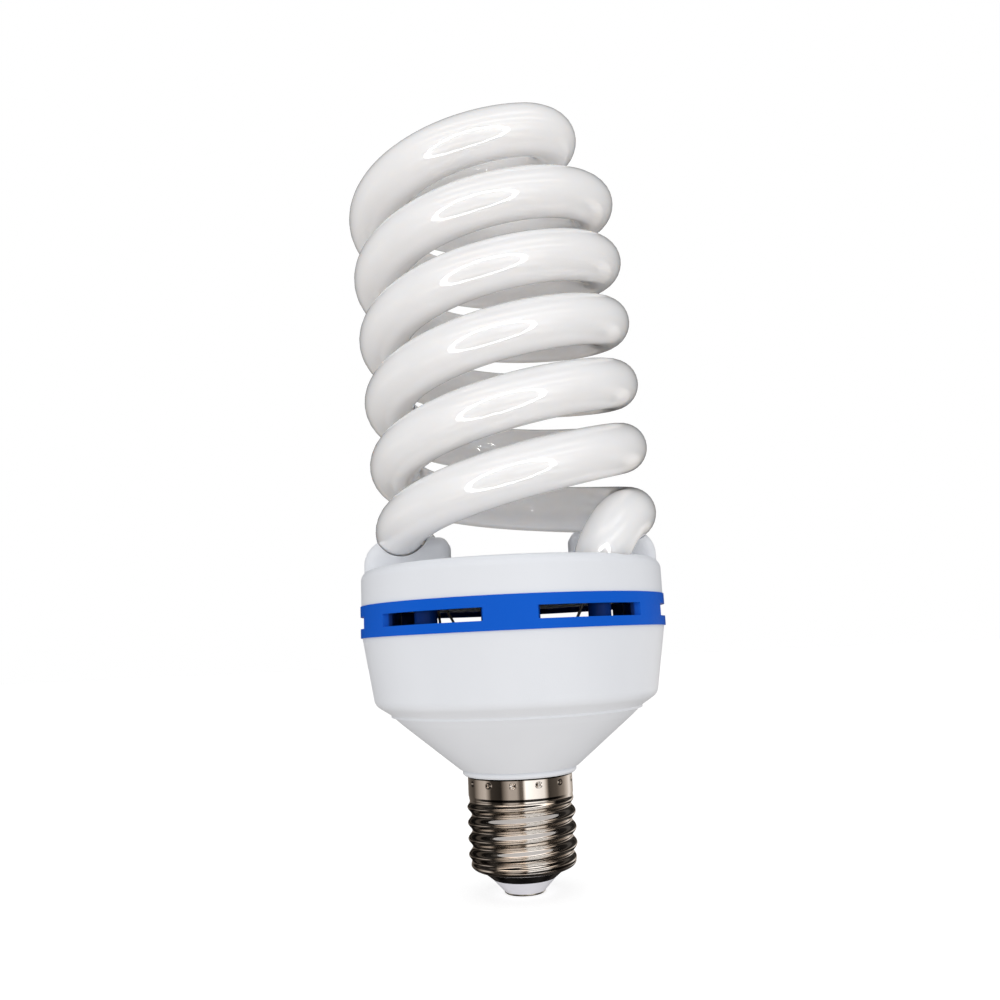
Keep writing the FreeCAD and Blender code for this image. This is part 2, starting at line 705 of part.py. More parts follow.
def film_capacitors():
    places = [(FILM_AT[0], FILM_AT[1]), (-FILM_AT[0], FILM_AT[1])]
    return Part.makeCompound([rounded_box(place, FILM) for place in places])


def resonance_capacitor():
    return rounded_box(RESONANCE_AT, RESONANCE)


def inductor_core():
    low = BOARD_Z - INDUCTOR_H
    low_flange = low + INDUCTOR_FLANGE
    high_flange = BOARD_Z - INDUCTOR_FLANGE
    body = revolve([
        (0, low), (INDUCTOR_R, low), (INDUCTOR_R, low_flange), (INDUCTOR_NECK_R, low_flange),
        (INDUCTOR_NECK_R, high_flange), (INDUCTOR_R, high_flange), (INDUCTOR_R, BOARD_Z), (0, BOARD_Z),
    ])
    body.translate(V(INDUCTOR_AT[0], INDUCTOR_AT[1], 0))
    return body


def inductor_winding():
    low = BOARD_Z - INDUCTOR_H + INDUCTOR_FLANGE
    high = BOARD_Z - INDUCTOR_FLANGE
    body = ring_solid(INDUCTOR_R - INDUCTOR_INSET, INDUCTOR_NECK_R + GAP, low, high)
    body.translate(V(INDUCTOR_AT[0], INDUCTOR_AT[1], 0))
    return body


def axial_part(x, y, radius, length):
    """Small round part along Y, with its two leads up to the board."""
    z = BOARD_Z - radius - AXIAL_LIFT
    reach = length / 2
    body = Part.makeCylinder(radius, length, V(x, y - reach, z), V(0, 1, 0))
    for end in (1, -1):
        root = y + end * (reach - LEAD_R)
        corner = y + end * (reach + LEAD_BEND)
        lead = bent_lead([V(x, root, z), V(x, corner, z), V(x, corner, BOARD_Z)], LEAD_R)
        body = body.fuse(lead)
    return body


def rectifier_diodes():
    x, y = DIODE_AT
    return Part.makeCompound([axial_part(x + ROW_STEP * i, y, *DIODE) for i in range(4)])


def resistors():
    x, y = DIODE_AT
    return Part.makeCompound([axial_part(-x - ROW_STEP * i, y, *RESISTOR) for i in range(4)])


def fuse_resistor():
    return axial_part(FUSE_AT[0], FUSE_AT[1], *FUSE)


def thermistor():
    radius, thick = THERMISTOR
    x, y = THERMISTOR_AT
    z = BOARD_Z - RADIAL_LEAD - radius
    body = Part.makeCylinder(radius, thick, V(x - thick / 2, y, z), V(1, 0, 0))
    for step in (-THERMISTOR_STEP, THERMISTOR_STEP):
        body = body.fuse(Part.makeCylinder(LEAD_R, BOARD_Z - z, V(x, y + step, z)))
    return body


def live_wire():
    """From the stem of the centre contact up to the board."""
    foot = V(0, 0, STEM_TOP + WIRE_END)
    end = V(-WIRE_PAD[0], WIRE_PAD[1], BOARD_Z - WIRE_END)
    return soft_wire([foot] + [V(*place) for place in LIVE_ROUTE] + [end], WIRE_R)


def neutral_wire():
    """From the inside of the shell, under the neck, up to the board."""
    end = V(WIRE_PAD[0], WIRE_PAD[1], BOARD_Z - WIRE_END)
    return soft_wire([V(*place) for place in (NEUTRAL_FOOT, *NEUTRAL_ROUTE)] + [end], WIRE_R)


def main():
    os.makedirs("parts", exist_ok=True)
    legs = [leg_body(side, TUBE_R) for side in (1, -1)]
    clearances = [leg_body(side, TUBE_R + GAP) for side in (1, -1)]
    nodes = {
        "spiral_tube": spiral_tube(),
        "tube_holder": tube_holder(clearances),
        "vent_ring": vent_ring(),
        "lower_housing": lower_housing(),
        "cap_shell": cap_shell(),
        "cap_glass": cap_glass(),
        "contact_insulator": contact_insulator(),
        "centre_contact": centre_contact(),
        "leg_cement": leg_cement(clearances),
        "wire_posts": wire_posts(),
        "tube_leads": tube_leads(),
        "circuit_board": circuit_board(),
        "electrolytic_capacitors": electrolytic_capacitors(),
        "choke_core": choke_core(),
        "choke_bobbin": choke_bobbin(),
        "choke_winding": choke_winding(),
        "toroid_core": toroid_core(),
        "toroid_windings": toroid_windings(),
        "power_transistors": power_transistors(),
        "film_capacitors": film_capacitors(),
        "resonance_capacitor": resonance_capacitor(),
        "inductor_core": inductor_core(),
        "inductor_winding": inductor_winding(),
        "rectifier_diodes": rectifier_diodes(),
        "resistors": resistors(),
        "fuse_resistor": fuse_resistor(),
        "thermistor": thermistor(),
        "live_wire": live_wire(),
        "neutral_wire": neutral_wire(),
    }
    for name, shape in nodes.items():
        shape.exportStep("parts/" + name + ".step")


if __name__ == "__main__":
    main()
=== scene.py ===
# Spiral energy saving bulb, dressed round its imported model. Metres, +Z up, -Y to the front.
import math

import bpy
from mathutils import Matrix, Vector


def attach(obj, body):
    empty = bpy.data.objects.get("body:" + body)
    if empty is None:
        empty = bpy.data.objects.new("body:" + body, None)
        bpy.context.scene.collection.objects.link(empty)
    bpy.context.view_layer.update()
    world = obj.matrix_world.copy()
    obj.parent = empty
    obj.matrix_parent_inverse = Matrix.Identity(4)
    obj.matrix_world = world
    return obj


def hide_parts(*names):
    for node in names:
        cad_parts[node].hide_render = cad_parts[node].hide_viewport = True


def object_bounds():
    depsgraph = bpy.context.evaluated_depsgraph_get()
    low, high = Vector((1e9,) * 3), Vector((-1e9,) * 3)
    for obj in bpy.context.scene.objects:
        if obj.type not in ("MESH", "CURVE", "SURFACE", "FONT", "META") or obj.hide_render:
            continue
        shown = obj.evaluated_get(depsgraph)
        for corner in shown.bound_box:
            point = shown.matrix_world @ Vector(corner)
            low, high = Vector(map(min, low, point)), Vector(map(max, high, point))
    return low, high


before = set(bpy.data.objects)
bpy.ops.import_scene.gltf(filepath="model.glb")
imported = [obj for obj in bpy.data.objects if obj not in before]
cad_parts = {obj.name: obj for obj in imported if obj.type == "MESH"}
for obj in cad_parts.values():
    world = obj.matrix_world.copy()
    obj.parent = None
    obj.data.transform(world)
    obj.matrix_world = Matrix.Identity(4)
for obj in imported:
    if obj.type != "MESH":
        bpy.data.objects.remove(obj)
cad_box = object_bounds()
bpy.ops.object.select_all(action="DESELECT")
scene = bpy.context.scene
MM = 0.001


# Floor and light
# A pale floor under the cap and a bright soft sky, a little weaker from the sides. Shiny
# things see cards and tiers of light in it, and a ring lamp draws an oval in each turn of glass.

class Signal:
    """One output in a material; arithmetic on it adds Math nodes."""

    def __init__(self, tree, socket=None):
        self.tree = tree
        self.socket = socket

    def add(self, kind, settings=None, inputs=None, output=0):
        """Any other node: its settings first, then the values or links of its sockets."""
        node = self.tree.nodes.new(kind)
        for name, value in (settings or {}).items():
            setattr(node, name, value)
        for name, value in (inputs or {}).items():
            if isinstance(value, Signal):
                self.tree.links.new(value.socket, node.inputs[name])
            else:
                node.inputs[name].default_value = value
        return Signal(self.tree, node.outputs[output] if len(node.outputs) else None)

    def maths(self, operation, first, second=0.0, clamp=False):
        settings = {"operation": operation, "use_clamp": clamp}
        return self.add("ShaderNodeMath", settings, {0: first, 1: second})

    def clamped(self):
        """Kept between 0 and 1."""
        return self.maths("MAXIMUM", self, 0.0, clamp=True)

    def __add__(self, other):
        return self.maths("ADD", self, other)

    def __sub__(self, other):
        return self.maths("SUBTRACT", self, other)

    def __rsub__(self, other):
        return self.maths("SUBTRACT", other, self)

    def __mul__(self, other):
        return self.maths("MULTIPLY", self, other)

    def __truediv__(self, other):
        return self.maths("DIVIDE", self, other)

    __radd__ = __add__
    __rmul__ = __mul__


def band(value, low, high, soft):
    """1 between low and high, fading to 0 over the soft width."""
    rise = (value - low) / soft + 0.5
    fall = (high - value) / soft + 0.5
    return rise.clamped() * fall.clamped()


def grey_ramp(value, stops):
    """A brightness that follows the stops, each a place from 0 to 1 and a level."""
    levels = value.add("ShaderNodeValToRGB", {}, {0: value})
    elements = levels.socket.node.color_ramp.elements
    while len(elements) < len(stops):
        elements.new(0.5)
    for element, (place, level) in zip(elements, stops):
        element.position = place
        element.color = (level, level, level, 1.0)
    return levels


def blend_colours(mask, first, second):
    settings = {"data_type": "RGBA"}
    return mask.add("ShaderNodeMix", settings, {0: mask, 6: first, 7: second}, output=2)


def noise(start, place, scale, detail=3.0):
    inputs = {"Vector": place, "Scale": scale, "Detail": detail, "Roughness": 0.5}
    return start.add("ShaderNodeTexNoise", {}, inputs)


def stretched(start, place, scale):
    return start.add("ShaderNodeMapping", {}, {"Vector": place, "Scale": scale})


WHITE = (1.0, 1.0, 1.0, 1.0)
SOFT_LEVEL = 0.87                # what matt surfaces get
SOFT_LIFT = 0.12                 # more of it from the horizon up
SOFT_FRONT = 0.03                # and from the front
SOFT_SIDES = 0.16                # less of it from the sides
SIDES = (0.70, 1.4, 0.35)        # where the sides are: from, to, soft edge
FALL_BELOW = 0.9                 # how fast the lift falls off under the horizon
FROM_BELOW = (1.0, 0.955, 0.91, 1.0)
FROM_ABOVE = (0.98, 0.985, 1.0, 1.0)
CARD_LEVEL = 1.35                # what shiny surfaces see
TIER_LEVEL = 1.8
DARK_LEVEL = 0.03                # left between cards and tiers
# Cards round the lamp: bearing (0 and 1 behind, 0.5 in front) and level.
CARDS = (
    (0.00, 0.30), (0.08, 0.10), (0.16, 0.06), (0.225, 0.40), (0.27, 0.50), (0.31, 0.04), (0.38, 0.02),
    (0.43, 0.42), (0.475, 0.40), (0.495, 0.10), (0.512, 0.12), (0.530, 1.25), (0.57, 1.10), (0.645, 0.85),
    (0.675, 0.04), (0.74, 0.08), (0.80, 0.26), (0.87, 0.80), (0.92, 0.40), (1.00, 0.30))
CARD_HEIGHT = (-0.27, -0.03, 0.06)
# Tiers of light over and under the cards, in front only: lowest and highest, from -1 straight
# down to 1 straight up, and level.
TIERS = (
    (0.10, 0.18, 0.8), (0.38, 0.52, 1.1), (0.72, 0.86, 0.9), (-0.62, -0.48, 0.9), (-0.88, -0.78, 0.6))
TIER_BEARING = (0.35, 0.69, 0.08)
TIER_PEAK = 1.1
TIER_SOFT = 0.05
WARM_DARK = (1.0, 0.84, 0.70, 1.0)
WARM_LIGHT = (1.0, 0.985, 0.965, 1.0)

world = bpy.data.worlds.new("soft_sky")
scene.world = world
world.use_nodes = True
world.node_tree.nodes.clear()
sky = Signal(world.node_tree)
toward = sky.add("ShaderNodeTexCoord", output=0)
across, ahead, height = [sky.add("ShaderNodeSeparateXYZ", {}, {0: toward}, output=axis) for axis in range(3)]
side = across.maths("ABSOLUTE", across)
front = (0.0 - ahead).clamped()
lift = (FALL_BELOW * height + 1.0).clamped()
soft_glow = SOFT_LEVEL + SOFT_LIFT * lift + SOFT_FRONT * (front * front) - SOFT_SIDES * band(side, *SIDES)
soft_tint = blend_colours(lift, FROM_BELOW, FROM_ABOVE)

bearing = across.maths("ARCTAN2", across, 0.0 - ahead) / (2 * math.pi) + 0.5
cards = grey_ramp(bearing, CARDS)
card_wall = DARK_LEVEL + (1.0 - DARK_LEVEL) * band(height, *CARD_HEIGHT)
tier_wall = DARK_LEVEL + TIER_PEAK * band(bearing, *TIER_BEARING)
tiers = 0.0
for low, high, level in TIERS:
    tiers = tiers + level * band(height, low, high, TIER_SOFT)
shiny_glow = CARD_LEVEL * (cards * card_wall) + TIER_LEVEL * (tier_wall * tiers)
shiny_tint = blend_colours(cards, WARM_DARK, WARM_LIGHT)

# The camera itself sees plain white behind the lamp.
by_camera = sky.add("ShaderNodeLightPath", output=0)
by_gloss = sky.add("ShaderNodeLightPath", output=3)
brightness = soft_glow * (1.0 - by_gloss) + shiny_glow * by_gloss
brightness = brightness * (1.0 - by_camera) + by_camera
tint = blend_colours(by_camera, blend_colours(by_gloss, soft_tint, shiny_tint), WHITE)
glow = sky.add("ShaderNodeBackground", {}, {"Color": tint, "Strength": brightness})
sky.add("ShaderNodeOutputWorld", {}, {0: glow})
scene.view_settings.view_transform = "Standard"

FLOOR_SIZE = 6.0
bpy.ops.mesh.primitive_plane_add(size=FLOOR_SIZE, location=(0, 0, cad_box[0].z))
floor = bpy.context.object
floor.name = "floor"
floor.visible_diffuse = False
floor.visible_glossy = False


def new_finish(name, **constants):
    """A material with one Principled shader; what is the same all over is set on its sockets."""
    material = bpy.data.materials.new(name)
    material.use_nodes = True
    shader = material.node_tree.nodes["Principled BSDF"]
    for socket, value in constants.items():
        shader.inputs[socket.replace("_", " ")].default_value = value
    return material, Signal(material.node_tree), shader


def feed(signal, shader, socket):
    signal.tree.links.new(signal.socket, shader.inputs[socket])


def bump(start, height, strength, shader):
    inputs = {"Height": height, "Strength": strength, "Distance": MM}
    feed(start.add("ShaderNodeBump", {}, inputs), shader, "Normal")


def object_place(start):
    return start.add("ShaderNodeTexCoord", output=3)


PAPER_GRAIN = 900.0              # to a metre, as for each noise below
PAPER_DARK = (0.44, 0.44, 0.44, 1.0)
PAPER_LIGHT = (0.46, 0.46, 0.455, 1.0)
PAPER_GLOW = 0.70
paper, start, shader = new_finish(
    "pale_floor", Roughness=0.7, Emission_Color=WHITE, Emission_Strength=PAPER_GLOW)
grain = noise(start, object_place(start), PAPER_GRAIN)
feed(blend_colours(grain, PAPER_DARK, PAPER_LIGHT), shader, "Base Color")
bump(start, grain, 0.1, shader)
floor.data.materials.append(paper)

RING_LAMP_AT = (0.02, -0.26, 0.045)
RING_LAMP_TILT = 100.0
RING_LAMP_R = 0.165
RING_LAMP_THICK = 0.028
RING_LAMP_GLOW = 10.0
bpy.ops.mesh.primitive_torus_add(
    location=RING_LAMP_AT, rotation=(math.radians(RING_LAMP_TILT), 0, 0),
    major_radius=RING_LAMP_R, minor_radius=RING_LAMP_THICK / 2, major_segments=96, minor_segments=12)
ring_lamp = bpy.context.object
ring_lamp.name = "ring_lamp"
ring_lamp.visible_camera = False
ring_lamp.visible_shadow = False
ring_lamp.visible_diffuse = False

# It glows and is clear, so that the cap, which it doesn't light, shows no dark ring.
glowing = bpy.data.materials.new("ring_light")
glowing.use_nodes = True
glowing.node_tree.nodes.clear()
start = Signal(glowing.node_tree)
light = start.add("ShaderNodeEmission", {}, {"Strength": RING_LAMP_GLOW})
clear = start.add("ShaderNodeBsdfTransparent")
both = start.add("ShaderNodeAddShader", {}, {0: light, 1: clear})
start.add("ShaderNodeOutputMaterial", {}, {0: both})
ring_lamp.data.materials.append(glowing)

FRONT_LIGHT_AT = Vector((0.0, -0.9, 0.35))
FRONT_LIGHT_WIDTH = 0.9
FRONT_LIGHT_WATTS = 0.7
lamp = bpy.data.lights.new("front_light", "AREA")
lamp.size = FRONT_LIGHT_WIDTH
lamp.energy = FRONT_LIGHT_WATTS
front_light = bpy.data.objects.new("front_light", lamp)
scene.collection.objects.link(front_light)
front_light.location = FRONT_LIGHT_AT
to_middle = (cad_box[0] + cad_box[1]) / 2 - FRONT_LIGHT_AT
front_light.rotation_euler = to_middle.to_track_quat("-Z", "Y").to_euler()
front_light.visible_glossy = False


# Camera
# Level with the housing, a little below the middle of the lamp, looking slightly up at it.
# Its place and lens were fitted to the outlines of the cap, the housing and the turns.

IMAGE = 1000.0                   # the picture's width and height, in pixels
FOCAL = 974.97
CENTRE_X = 502.56
CENTRE_Y = 451.49
SENSOR = 36.0
LOOK_UP = 11.185
ROLL = -2.617
CAMERA_AT = (-0.000635, -0.24938, 0.058185)
bpy.ops.object.camera_add()
camera = bpy.context.object
camera.data.sensor_width = SENSOR
camera.data.lens = FOCAL / IMAGE * SENSOR
camera.data.shift_x = (IMAGE / 2 - CENTRE_X) / IMAGE
camera.data.shift_y = (CENTRE_Y - IMAGE / 2) / IMAGE
camera.data.clip_start = 0.01
turn = Matrix.Rotation(math.radians(90 + LOOK_UP), 4, "X") @ Matrix.Rotation(math.radians(ROLL), 4, "Z")
camera.matrix_world = Matrix.Translation(CAMERA_AT) @ turn
scene.camera = camera


# Glass tube
# One tube of clear glass, wound to a double spiral with both feet down, and coated white inside
# with the powder that gives the light. Cement holds its feet in the holder.

COIL_R = 29.33 * MM
TUBE_R = 6.43 * MM
COIL_PITCH = 33.6 * MM
COIL_AT = (0.835 * MM, 0, 105.05 * MM)
LEAN_BACK = 0.17
LEAN_LEFT = 3.7
# Of each strand, 1 and -1: where its foot leaves the coil, in degrees, the radius of that bend,
# and how far the foot stands in towards the axis.
LEG_START = {1: -24.0, -1: -12.0}
LEG_BEND = {1: 16.5 * MM, -1: 15.3 * MM}
LEG_PULL = {1: 2.6 * MM, -1: 0.0}
TURN_IN = 22.0                   # degrees past the front, where the bridge starts
STRAND_LAST = 3 * 360.0 - 90.0 + TURN_IN
SLOPE = math.atan(COIL_PITCH / (2 * math.pi * COIL_R))
BEND_STEPS = 24
COIL_STEP = 3.0
CROSSOVER_STEPS = 48
TUBE_BEVEL = 14                  # gives its section 2 * 14 + 4 sides
SMOOTH_TUBE = math.radians(40)


def on_coil(strand, radius, around, height):
    return Vector((strand * radius * math.cos(around), strand * radius * math.sin(around), height))


def bend_point(strand, part):
    """Foot of a strand, part 0 where it runs straight down and part 1 where it meets the coil."""
    angle = math.pi / 2 + (SLOPE - math.pi / 2) * part
    along = LEG_BEND[strand] * (math.sin(angle) - math.sin(SLOPE))
    drop = LEG_BEND[strand] * (math.cos(SLOPE) - math.cos(angle))
    around = math.radians(LEG_START[strand]) - along / COIL_R
    radius = COIL_R - LEG_PULL[strand] * (1 - part) ** 2
    return on_coil(strand, radius, around, COIL_PITCH * (LEG_START[strand] - 180) / 360 - drop)


def coil_point(strand, azimuth):
    return on_coil(strand, COIL_R, math.radians(azimuth), COIL_PITCH * (azimuth - 180) / 360)


def crossover_point(strand, part):
    """Half of the bridge over the axis, from the end of a strand to the middle of the lamp."""
    rise = math.tan(SLOPE) * math.pi * COIL_R / 4
    top = COIL_PITCH * (STRAND_LAST - 180) / 360
    x = COIL_R / 2 * math.sin(math.pi * part)
    y = -COIL_R / 2 * (1 + math.cos(math.pi * part))
    point = Vector((strand * x, strand * y, top + rise * (2 * part - part * part)))
    return Matrix.Rotation(math.radians(TURN_IN), 3, "Z") @ point


def strand_line(strand):
    """From the foot of a strand up the coil and along its half of the bridge."""
    sweep = STRAND_LAST - LEG_START[strand]
    count = round(sweep / COIL_STEP)
    line = [bend_point(strand, i / BEND_STEPS) for i in range(BEND_STEPS)]
    line += [coil_point(strand, LEG_START[strand] + sweep * i / count) for i in range(count)]
    line += [crossover_point(strand, i / CROSSOVER_STEPS) for i in range(CROSSOVER_STEPS)]
    return line


centreline = strand_line(1) + [crossover_point(1, 1.0)] + strand_line(-1)[::-1]
lean = Matrix.Rotation(math.radians(LEAN_BACK), 4, "X") @ Matrix.Rotation(math.radians(-LEAN_LEFT), 4, "Y")
set_in_holder = Matrix.Translation(COIL_AT) @ lean
path = bpy.data.curves.new("glass_tube", "CURVE")
path.dimensions = "3D"
path.bevel_depth = TUBE_R
path.bevel_resolution = TUBE_BEVEL
path.use_fill_caps = True
line = path.splines.new("POLY")
line.points.add(len(centreline) - 1)
for place, point in zip(line.points, centreline):
    place.co = (*(set_in_holder @ point), 1.0)
tube = bpy.data.objects.new("glass_tube", path)
scene.collection.objects.link(tube)
bpy.context.view_layer.objects.active = tube
tube.select_set(True)
bpy.ops.object.convert(target="MESH")
tube = bpy.context.object
bpy.ops.object.shade_smooth_by_angle(angle=SMOOTH_TUBE)
tube.select_set(False)

# Powder behind a clear coat: it lets light in a little way, and lies in faint clouds.
POWDER_CLOUD = 90.0
POWDER_SPECK = 2600.0
POWDER_DARK = (0.845, 0.835, 0.83, 1.0)
POWDER_LIGHT = (0.90, 0.892, 0.89, 1.0)
GLASS_RIPPLE = 160.0
coated, start, shader = new_finish(
    "coated_glass", Coat_Weight=1.0, Coat_Roughness=0.03, Coat_IOR=1.5,
    Subsurface_Weight=1.0, Subsurface_Scale=0.010, Subsurface_Radius=(1.0, 0.93, 0.86))
place = object_place(start)
cloud = noise(start, place, POWDER_CLOUD, 4.0)
powder = 0.7 * cloud + 0.3 * noise(start, place, POWDER_SPECK, 2.0)
feed(blend_colours(powder, POWDER_DARK, POWDER_LIGHT), shader, "Base Color")
feed(0.36 + 0.2 * cloud, shader, "Roughness")
bump(start, noise(start, place, GLASS_RIPPLE, 2.0), 0.05, shader)
tube.data.materials.clear()
tube.data.materials.append(coated)
lit_by_ring = bpy.data.collections.new("lit_by_ring")
lit_by_ring.objects.link(tube)
ring_lamp.light_linking.receiver_collection = lit_by_ring
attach(tube, "root")
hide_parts("spiral_tube")


# Housing of white plastic
# The tube holder above the vent ring and the cone below it are moulded in one white plastic,
# satin outside, with faint flow marks and a very fine grain from the mould.

FLOW_SCALE = 60.0
MOULD_GRAIN = 3800.0
MOULD_WAVE = 500.0
UPRIGHT_FLOW = (1.0, 1.0, 0.35)
INSIDE_SHADE_EDGE = 0.4 * MM
INSIDE_SHADE_SHARE = 0.3                 # what is left of the colour in the painted shade inside


def dress(material, *nodes):
    """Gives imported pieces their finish."""
    for node in nodes:
        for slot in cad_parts[node].material_slots:
            slot.material = material


def moulded(name, dark, light, rough, grain_depth, gloss=0.5, inside_r=0.0):
    """Moulded stuff with flow marks; nearer to the axis than inside_r its colour is darkened as painted
    shade.
    """
    material, start, shader = new_finish(name, Specular_IOR_Level=gloss)
    place = object_place(start)
    flat = start.add("ShaderNodeVectorMath", {"operation": "MULTIPLY"}, {0: place, 1: (1, 1, 0)})
    from_axis = start.add("ShaderNodeVectorMath", {"operation": "LENGTH"}, {0: flat}, output=1)
    flow = noise(start, stretched(start, place, UPRIGHT_FLOW), FLOW_SCALE)
    grain = noise(start, place, MOULD_GRAIN, 2.0)
    skin = blend_colours(flow, (*dark, 1), (*light, 1))
    # Painted shade: nearer the axis than inside_r the colour is darkened, for the shaded inside faces.
    inside = band(from_axis, -1.0, inside_r, INSIDE_SHADE_EDGE)
    inside_shade = (*[INSIDE_SHADE_SHARE * part for part in dark], 1)
    feed(blend_colours(inside, skin, inside_shade), shader, "Base Color")
    feed(rough + 0.1 * flow + 0.06 * grain, shader, "Roughness")
    bump(start, grain + 0.5 * noise(start, place, MOULD_WAVE), grain_depth, shader)
    return material


white = moulded("white_plastic", (0.785, 0.805, 0.84), (0.845, 0.865, 0.90), 0.30, 0.05)
dress(white, "lower_housing", "tube_holder")


# Vent ring
# A separate ring of bright blue plastic with six air slots, clamped between holder and housing.

# Nearer the axis than this the blue is painted darker, as painted shade on the inside faces of the ring.
RING_INSIDE = 36.6 * MM
blue = moulded(
    "blue_plastic", (0.0, 0.095, 0.57), (0.001, 0.115, 0.65), 0.26, 0.05, gloss=0.12, inside_r=RING_INSIDE)
dress(blue, "vent_ring")


# Screw cap
# A thin nickel-plated sheet, rolled to a round thread and punched to the neck with small dents.
# Its plating is faintly lined and stained, and its rim under the neck is painted near black as painted
# shade, where the housing overhangs it.

ROLL_LINES = 260.0
ROUND_LINES = (0.4, 0.4, 5.0)    # drawn out round the cap
STAIN_SCALE = 120.0
# Painted shade: the near black colour, and the band, that the rim under the neck is painted with.
GAP_SHADE_COLOUR = (0.02, 0.017, 0.015, 1.0)
GAP_SHADE_EDGE = 0.15 * MM
GAP_SHADE_FROM = 26.95 * MM
NO_GAP_SHADE = 1.0


def plated(name, dark, light, rough, shade_from=NO_GAP_SHADE):
    """Bright metal; above the height shade_from its colour is painted near black, as painted shade under the
    housing.
    """
    material, start, shader = new_finish(name, Metallic=1.0)
    place = object_place(start)
    high = start.add("ShaderNodeSeparateXYZ", {}, {0: place}, output=2)
    lines = noise(start, stretched(start, place, ROUND_LINES), ROLL_LINES)
    stain = noise(start, place, STAIN_SCALE)
    sheen = blend_colours(stain, (*dark, 1), (*light, 1))
    # Painted shade: above shade_from the metal's colour goes near black, for the shaded rim under the neck.
    gap_shade = band(high, shade_from, NO_GAP_SHADE + shade_from, GAP_SHADE_EDGE)
    feed(blend_colours(gap_shade, sheen, GAP_SHADE_COLOUR), shader, "Base Color")
    feed(rough + 0.03 * lines + 0.03 * stain, shader, "Roughness")
    bump(start, lines, 0.0002, shader)
    return material


# The sheet's measures in millimetres, as in the CAD source.
PITCH = 3.629
MEAN_R = 12.63
CREST = 0.5                      # how far the thread stands out and sinks in
WALL = 0.45
THREAD_LOW = 6.6
THREAD_HIGH = 22.2
RUNOUT = 2.2
COLLAR_R = 12.75
COLLAR_LOW = THREAD_HIGH + 0.5
COLLAR_TOP = 27.4
LIP = ((10.1, 5.3), (10.5, 5.38), (11.0, 5.5), (11.43, 5.65), (11.85, 5.85), (12.2, 6.08), (12.45, 6.33))
LIP_THICK = 0.4
DENTS = 13
DENT_R = 0.85
DENT_DEEP = 0.28
DENT_Z = 25.8
DENT_FIRST = math.radians(-126.0)
AROUND = 256
FINE_ROWS = 240
COLLAR_ROWS = 30
INNER_ROWS = 24
WELD = 0.002 * MM
SMOOTH_SHELL = math.radians(60)


def climb(radius, first, last, count, side):
    """Rows of the sheet at one radius from the first height to the last."""
    return [(radius, first + i * (last - first) / count, side) for i in range(count + 1)]


def shell_profile():
    """Round the sheet once: lip, thread, collar, and back down inside. Radius, height, side."""
    rows = [(radius, z, 1) for radius, z in LIP]
    rows += climb(MEAN_R, THREAD_LOW, THREAD_HIGH, FINE_ROWS, 1)
    rows += climb(COLLAR_R, COLLAR_LOW, COLLAR_TOP, COLLAR_ROWS, 1)
    rows += climb(COLLAR_R - WALL, COLLAR_TOP, COLLAR_LOW, 1, -1)
    rows += climb(MEAN_R - WALL, THREAD_HIGH, THREAD_LOW, INNER_ROWS, -1)
    rows.append((LIP[0][0], LIP[0][1] + LIP_THICK, -1))
    return rows + rows[:1]


def shell_point(row, around):
    """A point of the sheet: the thread lifts and sinks it, and the punch dents the collar."""
    radius, z, side = row
    fade = min(1.0, max(0.0, min(z - THREAD_LOW, THREAD_HIGH - z) / RUNOUT))
    radius += CREST * fade * fade * (3 - 2 * fade) * math.cos(around - 2 * math.pi * z / PITCH)
    if side > 0 and abs(z - DENT_Z) < DENT_R:
        spacing = 2 * math.pi / DENTS
        away = (around - DENT_FIRST + spacing / 2) % spacing - spacing / 2
        rest = DENT_R ** 2 - (COLLAR_R * away) ** 2 - (z - DENT_Z) ** 2
        if rest > 0:
            radius = min(radius, COLLAR_R + DENT_R - DENT_DEEP - math.sqrt(rest))
    return Vector((radius * math.cos(around), radius * math.sin(around), z)) * MM


rows = shell_profile()
bpy.ops.mesh.primitive_grid_add(x_subdivisions=AROUND, y_subdivisions=len(rows) - 1, size=1.0)
shell = bpy.context.object
shell.name = "screw_shell"
for vertex in shell.data.vertices:
    row = rows[round((vertex.co.y + 0.5) * (len(rows) - 1))]
    vertex.co = shell_point(row, 2 * math.pi * (vertex.co.x + 0.5))
bpy.ops.object.mode_set(mode="EDIT")
bpy.ops.mesh.select_all(action="SELECT")
bpy.ops.mesh.remove_doubles(threshold=WELD)
bpy.ops.mesh.normals_make_consistent(inside=False)
bpy.ops.object.mode_set(mode="OBJECT")
bpy.ops.object.shade_smooth_by_angle(angle=SMOOTH_SHELL)
shell.select_set(False)
# Above GAP_SHADE_FROM its colour is painted near black, as painted shade under the housing.
nickel = plated("nickel_plate", (0.64, 0.595, 0.55), (0.78, 0.735, 0.69), 0.05, GAP_SHADE_FROM)
shell.data.materials.append(nickel)
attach(shell, "root")
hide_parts("cap_shell")
dress(plated("contact_metal", (0.50, 0.47, 0.42), (0.70, 0.67, 0.60), 0.22), "centre_contact")


# Glass and insulator of the cap
# Black glass closes the bottom of the shell, and a white cone carries the centre contact.

SWIRL_SCALE = 350.0


def glassy(name, dark, light, rough, coat):
    """Fired glass or glaze under a clear coat, with a faint swirl."""
    material, start, shader = new_finish(name, Coat_Weight=coat, Coat_Roughness=0.05)
    swirl = noise(start, object_place(start), SWIRL_SCALE, 4.0)
    feed(blend_colours(swirl, (*dark, 1), (*light, 1)), shader, "Base Color")
    feed(rough + 0.12 * swirl, shader, "Roughness")
    bump(start, swirl, 0.08, shader)
    return material


dress(glassy("black_glass", (0.006, 0.006, 0.007), (0.018, 0.017, 0.017), 0.12, 0.6), "cap_glass")
dress(glassy("insulator_white", (0.74, 0.74, 0.80), (0.84, 0.84, 0.90), 0.35, 0.2), "contact_insulator")


# Feet of the tube and the works on the board
# Cement, posts, leads, the board and its parts are shut in the housing and show only in part.

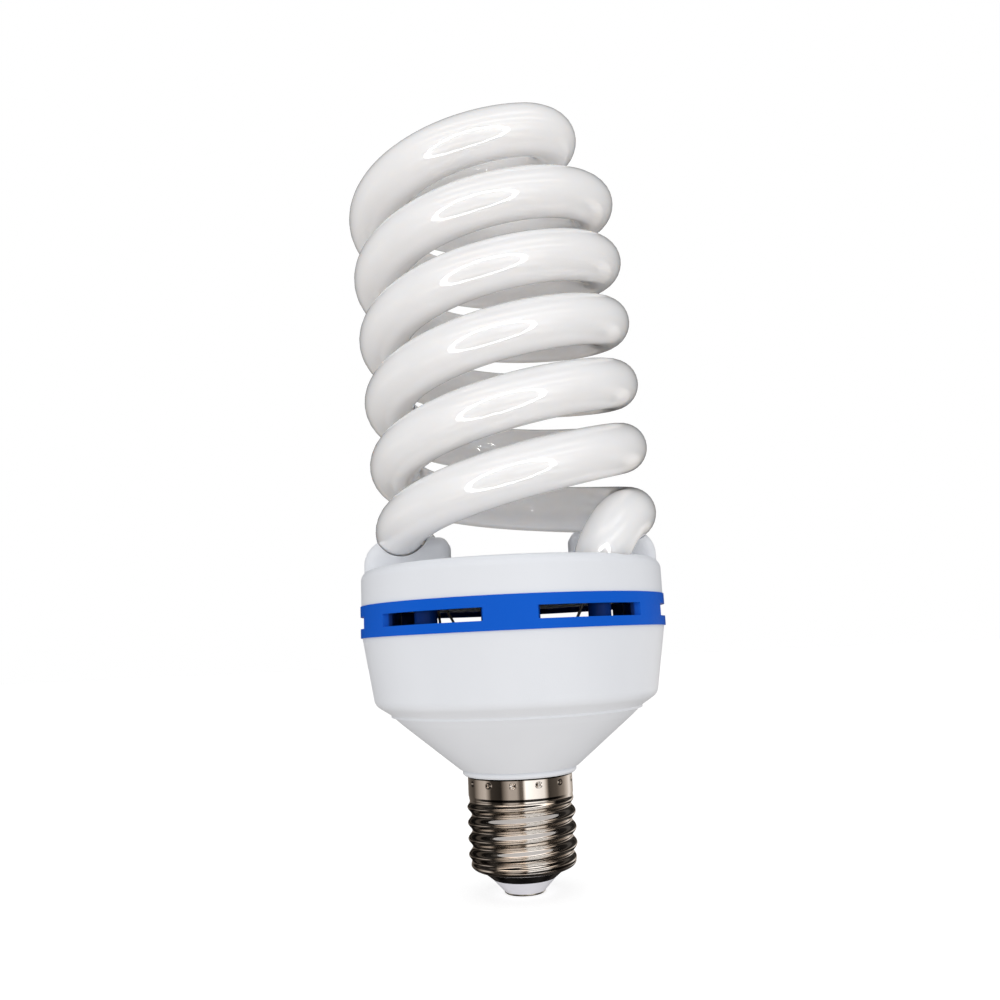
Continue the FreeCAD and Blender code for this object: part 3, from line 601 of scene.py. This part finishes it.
# Name, darkest and lightest colour, roughness, depth of grain, and the nodes in that stuff.
MOULDED_WORKS = (
    ("cement", (0.55, 0.54, 0.50), (0.74, 0.72, 0.67), 0.8, 0.5, ("leg_cement",)),
    ("board", (0.42, 0.28, 0.10), (0.55, 0.38, 0.15), 0.5, 0.1, ("circuit_board",)),
    ("capacitor_sleeve", (0.012, 0.012, 0.016), (0.03, 0.03, 0.04), 0.3, 0.05, ("electrolytic_capacitors",)),
    ("ferrite", (0.03, 0.03, 0.032), (0.07, 0.07, 0.072), 0.55, 0.3,
     ("choke_core", "toroid_core", "inductor_core")),
    ("bobbin", (0.02, 0.02, 0.02), (0.05, 0.05, 0.05), 0.4, 0.05, ("choke_bobbin",)),
    ("film_green", (0.01, 0.16, 0.05), (0.02, 0.24, 0.08), 0.25, 0.05, ("resonance_capacitor",)),
    ("film_red", (0.22, 0.02, 0.01), (0.34, 0.035, 0.02), 0.25, 0.05, ("film_capacitors",)),
    ("resistor_beige", (0.45, 0.33, 0.20), (0.60, 0.46, 0.30), 0.4, 0.05, ("resistors",)),
    ("component_black", (0.012, 0.012, 0.012), (0.03, 0.03, 0.03), 0.45, 0.2,
     ("power_transistors", "rectifier_diodes", "thermistor")),
    ("fuse_blue", (0.10, 0.22, 0.30), (0.16, 0.32, 0.42), 0.4, 0.1, ("fuse_resistor",)),
    ("wire_red", (0.40, 0.01, 0.01), (0.60, 0.02, 0.02), 0.35, 0.05, ("live_wire",)),
    ("wire_black", (0.012, 0.012, 0.012), (0.03, 0.03, 0.03), 0.35, 0.05, ("neutral_wire",)))
for name, dark, light, rough, grain_depth, nodes in MOULDED_WORKS:
    dress(moulded(name, dark, light, rough, grain_depth), *nodes)

# Name, darkest and lightest colour, roughness, and the nodes in that metal.
METAL_WORKS = (
    ("enamelled_copper", (0.42, 0.15, 0.06), (0.66, 0.27, 0.11), 0.2,
     ("choke_winding", "toroid_windings", "inductor_winding")),
    ("post_brass", (0.55, 0.40, 0.16), (0.76, 0.58, 0.26), 0.2, ("wire_posts",)),
    ("lead_wire", (0.50, 0.46, 0.42), (0.72, 0.69, 0.65), 0.25, ("tube_leads",)))
for name, dark, light, rough, nodes in METAL_WORKS:
    dress(plated(name, dark, light, rough), *nodes)
